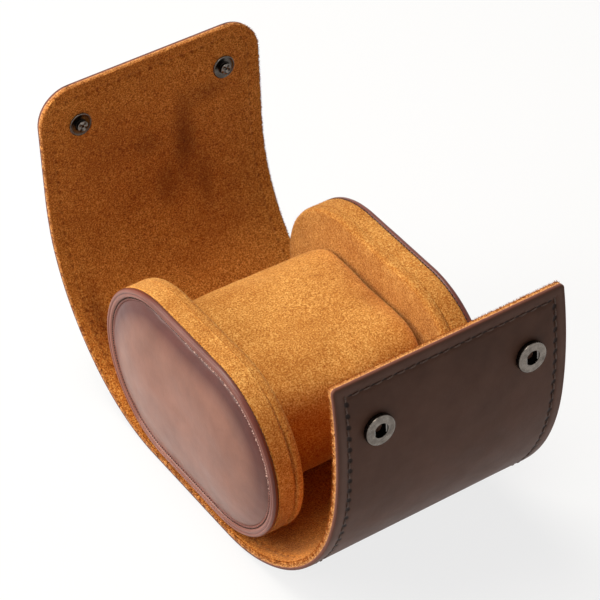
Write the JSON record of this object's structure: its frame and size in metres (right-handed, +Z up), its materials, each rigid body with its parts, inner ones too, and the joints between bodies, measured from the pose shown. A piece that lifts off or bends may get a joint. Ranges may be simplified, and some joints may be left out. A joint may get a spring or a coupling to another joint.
{
  "type": "watch travel case",
  "caption": "Leather watch travel case: a suede-lined wrap that closes with snaps round two padded ends and a lift-out watch cushion.",
  "frame": {"origin": "on the flat standing face of the wrap, under the middle of the case", "axes": "+Z up, X along the roll from the left pad to the right pad, -Y towards the short front flap, +Y towards the tall lid"},
  "size_m": [0.0972, 0.1889, 0.1166],
  "materials": {
    "leather_brown": "smooth, soft sheen",
    "suede_tan": "napped suede",
    "board": "plain",
    "foam": "open foam",
    "gunmetal": "dark plated, satin",
    "spring_steel": "drawn wire"
  },
  "bodies": {
    "base": {"base_lining": "suede_tan", "base_board": "board", "base_leather": "leather_brown"},
    "flap_1": {"flap_lining_1": "suede_tan", "flap_leather_1": "leather_brown"},
    "flap_2": {"flap_lining_2": "suede_tan", "flap_leather_2": "leather_brown"},
    "flap_3": {"flap_lining_3": "suede_tan", "flap_leather_3": "leather_brown"},
    "flap_4": {"flap_lining_4": "suede_tan", "flap_leather_4": "leather_brown"},
    "flap_5": {"flap_lining_5": "suede_tan", "flap_leather_5": "leather_brown"},
    "flap_panel": {"flap_panel_lining": "suede_tan", "flap_panel_board": "board", "flap_panel_leather": "leather_brown", "snap_sockets": "gunmetal", "snap_springs": "spring_steel", "snap_eyelets": "gunmetal"},
    "lid_1": {"lid_lining_1": "suede_tan", "lid_leather_1": "leather_brown"},
    "lid_2": {"lid_lining_2": "suede_tan", "lid_leather_2": "leather_brown"},
    "lid_3": {"lid_lining_3": "suede_tan", "lid_leather_3": "leather_brown"},
    "lid_4": {"lid_lining_4": "suede_tan", "lid_leather_4": "leather_brown"},
    "lid_5": {"lid_lining_5": "suede_tan", "lid_leather_5": "leather_brown"},
    "lid_6": {"lid_lining_6": "suede_tan", "lid_leather_6": "leather_brown"},
    "lid_panel": {"lid_panel_lining": "suede_tan", "lid_panel_board": "board", "lid_panel_leather": "leather_brown", "snap_studs": "gunmetal", "snap_caps": "gunmetal"},
    "pad_left": {"pad_left_face_leather": "leather_brown", "pad_left_face_padding": "foam", "pad_left_rim_piping": "leather_brown", "pad_left_board": "board", "pad_left_gusset": "suede_tan", "pad_left_foam": "foam", "pad_left_inner_suede": "suede_tan"},
    "pad_right": {"pad_right_face_leather": "leather_brown", "pad_right_face_padding": "foam", "pad_right_rim_piping": "leather_brown", "pad_right_board": "board", "pad_right_gusset": "suede_tan", "pad_right_foam": "foam", "pad_right_inner_suede": "suede_tan"},
    "cushion": {"cushion_sleeve": "suede_tan", "cushion_foam": "foam", "cushion_end_left": "suede_tan", "cushion_end_right": "suede_tan"}
  },
  "joints": [
    {"name": "lid_roll", "type": "hinge", "parent": "base", "child": "lid_1", "pos_m": [0, 0.0245, 0.0032], "axis": [1, 0, 0], "range_deg": [-3.5, 16.06]},
    {"name": "lid_bend_2", "type": "hinge", "parent": "lid_1", "child": "lid_2", "pos_m": [0, 0.04427, 0.00679], "axis": [1, 0, 0], "range_deg": [-2.59, 11.84]},
    {"name": "lid_bend_3", "type": "hinge", "parent": "lid_2", "child": "lid_3", "pos_m": [0, 0.06168, 0.01685], "axis": [1, 0, 0], "range_deg": [-3.26, 14.88]},
    {"name": "lid_bend_4", "type": "hinge", "parent": "lid_3", "child": "lid_4", "pos_m": [0, 0.07549, 0.03152], "axis": [1, 0, 0], "range_deg": [-1.82, 8.3]},
    {"name": "lid_bend_5", "type": "hinge", "parent": "lid_4", "child": "lid_5", "pos_m": [0, 0.085, 0.04927], "axis": [1, 0, 0], "range_deg": [-1.44, 6.54]},
    {"name": "lid_bend_6", "type": "hinge", "parent": "lid_5", "child": "lid_6", "pos_m": [0, 0.08834, 0.0613], "axis": [1, 0, 0], "range_deg": [-2.87, 13.11]},
    {"name": "lid_panel_bend", "type": "hinge", "parent": "lid_6", "child": "lid_panel", "pos_m": [0, 0.08986, 0.0737], "axis": [1, 0, 0], "range_deg": [-4.98, 22.78]},
    {"name": "flap_roll", "type": "hinge", "parent": "base", "child": "flap_1", "pos_m": [0, -0.0245, 0.0032], "axis": [-1, 0, 0], "range_deg": [-3.5, 14.82]},
    {"name": "flap_bend_2", "type": "hinge", "parent": "flap_1", "child": "flap_2", "pos_m": [0, -0.04417, 0.00718], "axis": [-1, 0, 0], "range_deg": [-2.66, 11.24]},
    {"name": "flap_bend_3", "type": "hinge", "parent": "flap_2", "child": "flap_3", "pos_m": [0, -0.06132, 0.01771], "axis": [-1, 0, 0], "range_deg": [-3.82, 16.15]},
    {"name": "flap_bend_4", "type": "hinge", "parent": "flap_3", "child": "flap_4", "pos_m": [0, -0.07474, 0.03272], "axis": [-1, 0, 0], "range_deg": [-3.39, 14.29]},
    {"name": "flap_bend_5", "type": "hinge", "parent": "flap_4", "child": "flap_5", "pos_m": [0, -0.08343, 0.05088], "axis": [-1, 0, 0], "range_deg": [-4.49, 18.98]},
    {"name": "flap_panel_bend", "type": "hinge", "parent": "flap_5", "child": "flap_panel", "pos_m": [0, -0.08705, 0.0707], "axis": [-1, 0, 0], "range_deg": [-2.36, 9.94]},
    {"name": "cushion_lift", "type": "slide", "parent": "base", "child": "cushion", "axis": [0, 0, -1], "range_m": [-0.06, 0]},
    {"name": "pad_left_tilt", "type": "hinge", "parent": "base", "child": "pad_left", "pos_m": [-0.046, 0, 0.0032], "axis": [0, 1, 0], "range_deg": [-8, 0]},
    {"name": "pad_right_tilt", "type": "hinge", "parent": "base", "child": "pad_right", "pos_m": [0.046, 0, 0.0032], "axis": [0, -1, 0], "range_deg": [-8, 0]}
  ],
  "couplings": [
    {"joint": "lid_bend_2", "follows": "lid_roll", "ratio": 0.736},
    {"joint": "lid_bend_3", "follows": "lid_roll", "ratio": 0.9259},
    {"joint": "lid_bend_4", "follows": "lid_roll", "ratio": 0.5156},
    {"joint": "lid_bend_5", "follows": "lid_roll", "ratio": 0.406},
    {"joint": "lid_bend_6", "follows": "lid_roll", "ratio": 0.8151},
    {"joint": "lid_panel_bend", "follows": "lid_roll", "ratio": 1.4178},
    {"joint": "flap_bend_2", "follows": "flap_roll", "ratio": 0.7571},
    {"joint": "flap_bend_3", "follows": "flap_roll", "ratio": 1.0884},
    {"joint": "flap_bend_4", "follows": "flap_roll", "ratio": 0.9629},
    {"joint": "flap_bend_5", "follows": "flap_roll", "ratio": 1.2794},
    {"joint": "flap_panel_bend", "follows": "flap_roll", "ratio": 0.67}
  ]
}
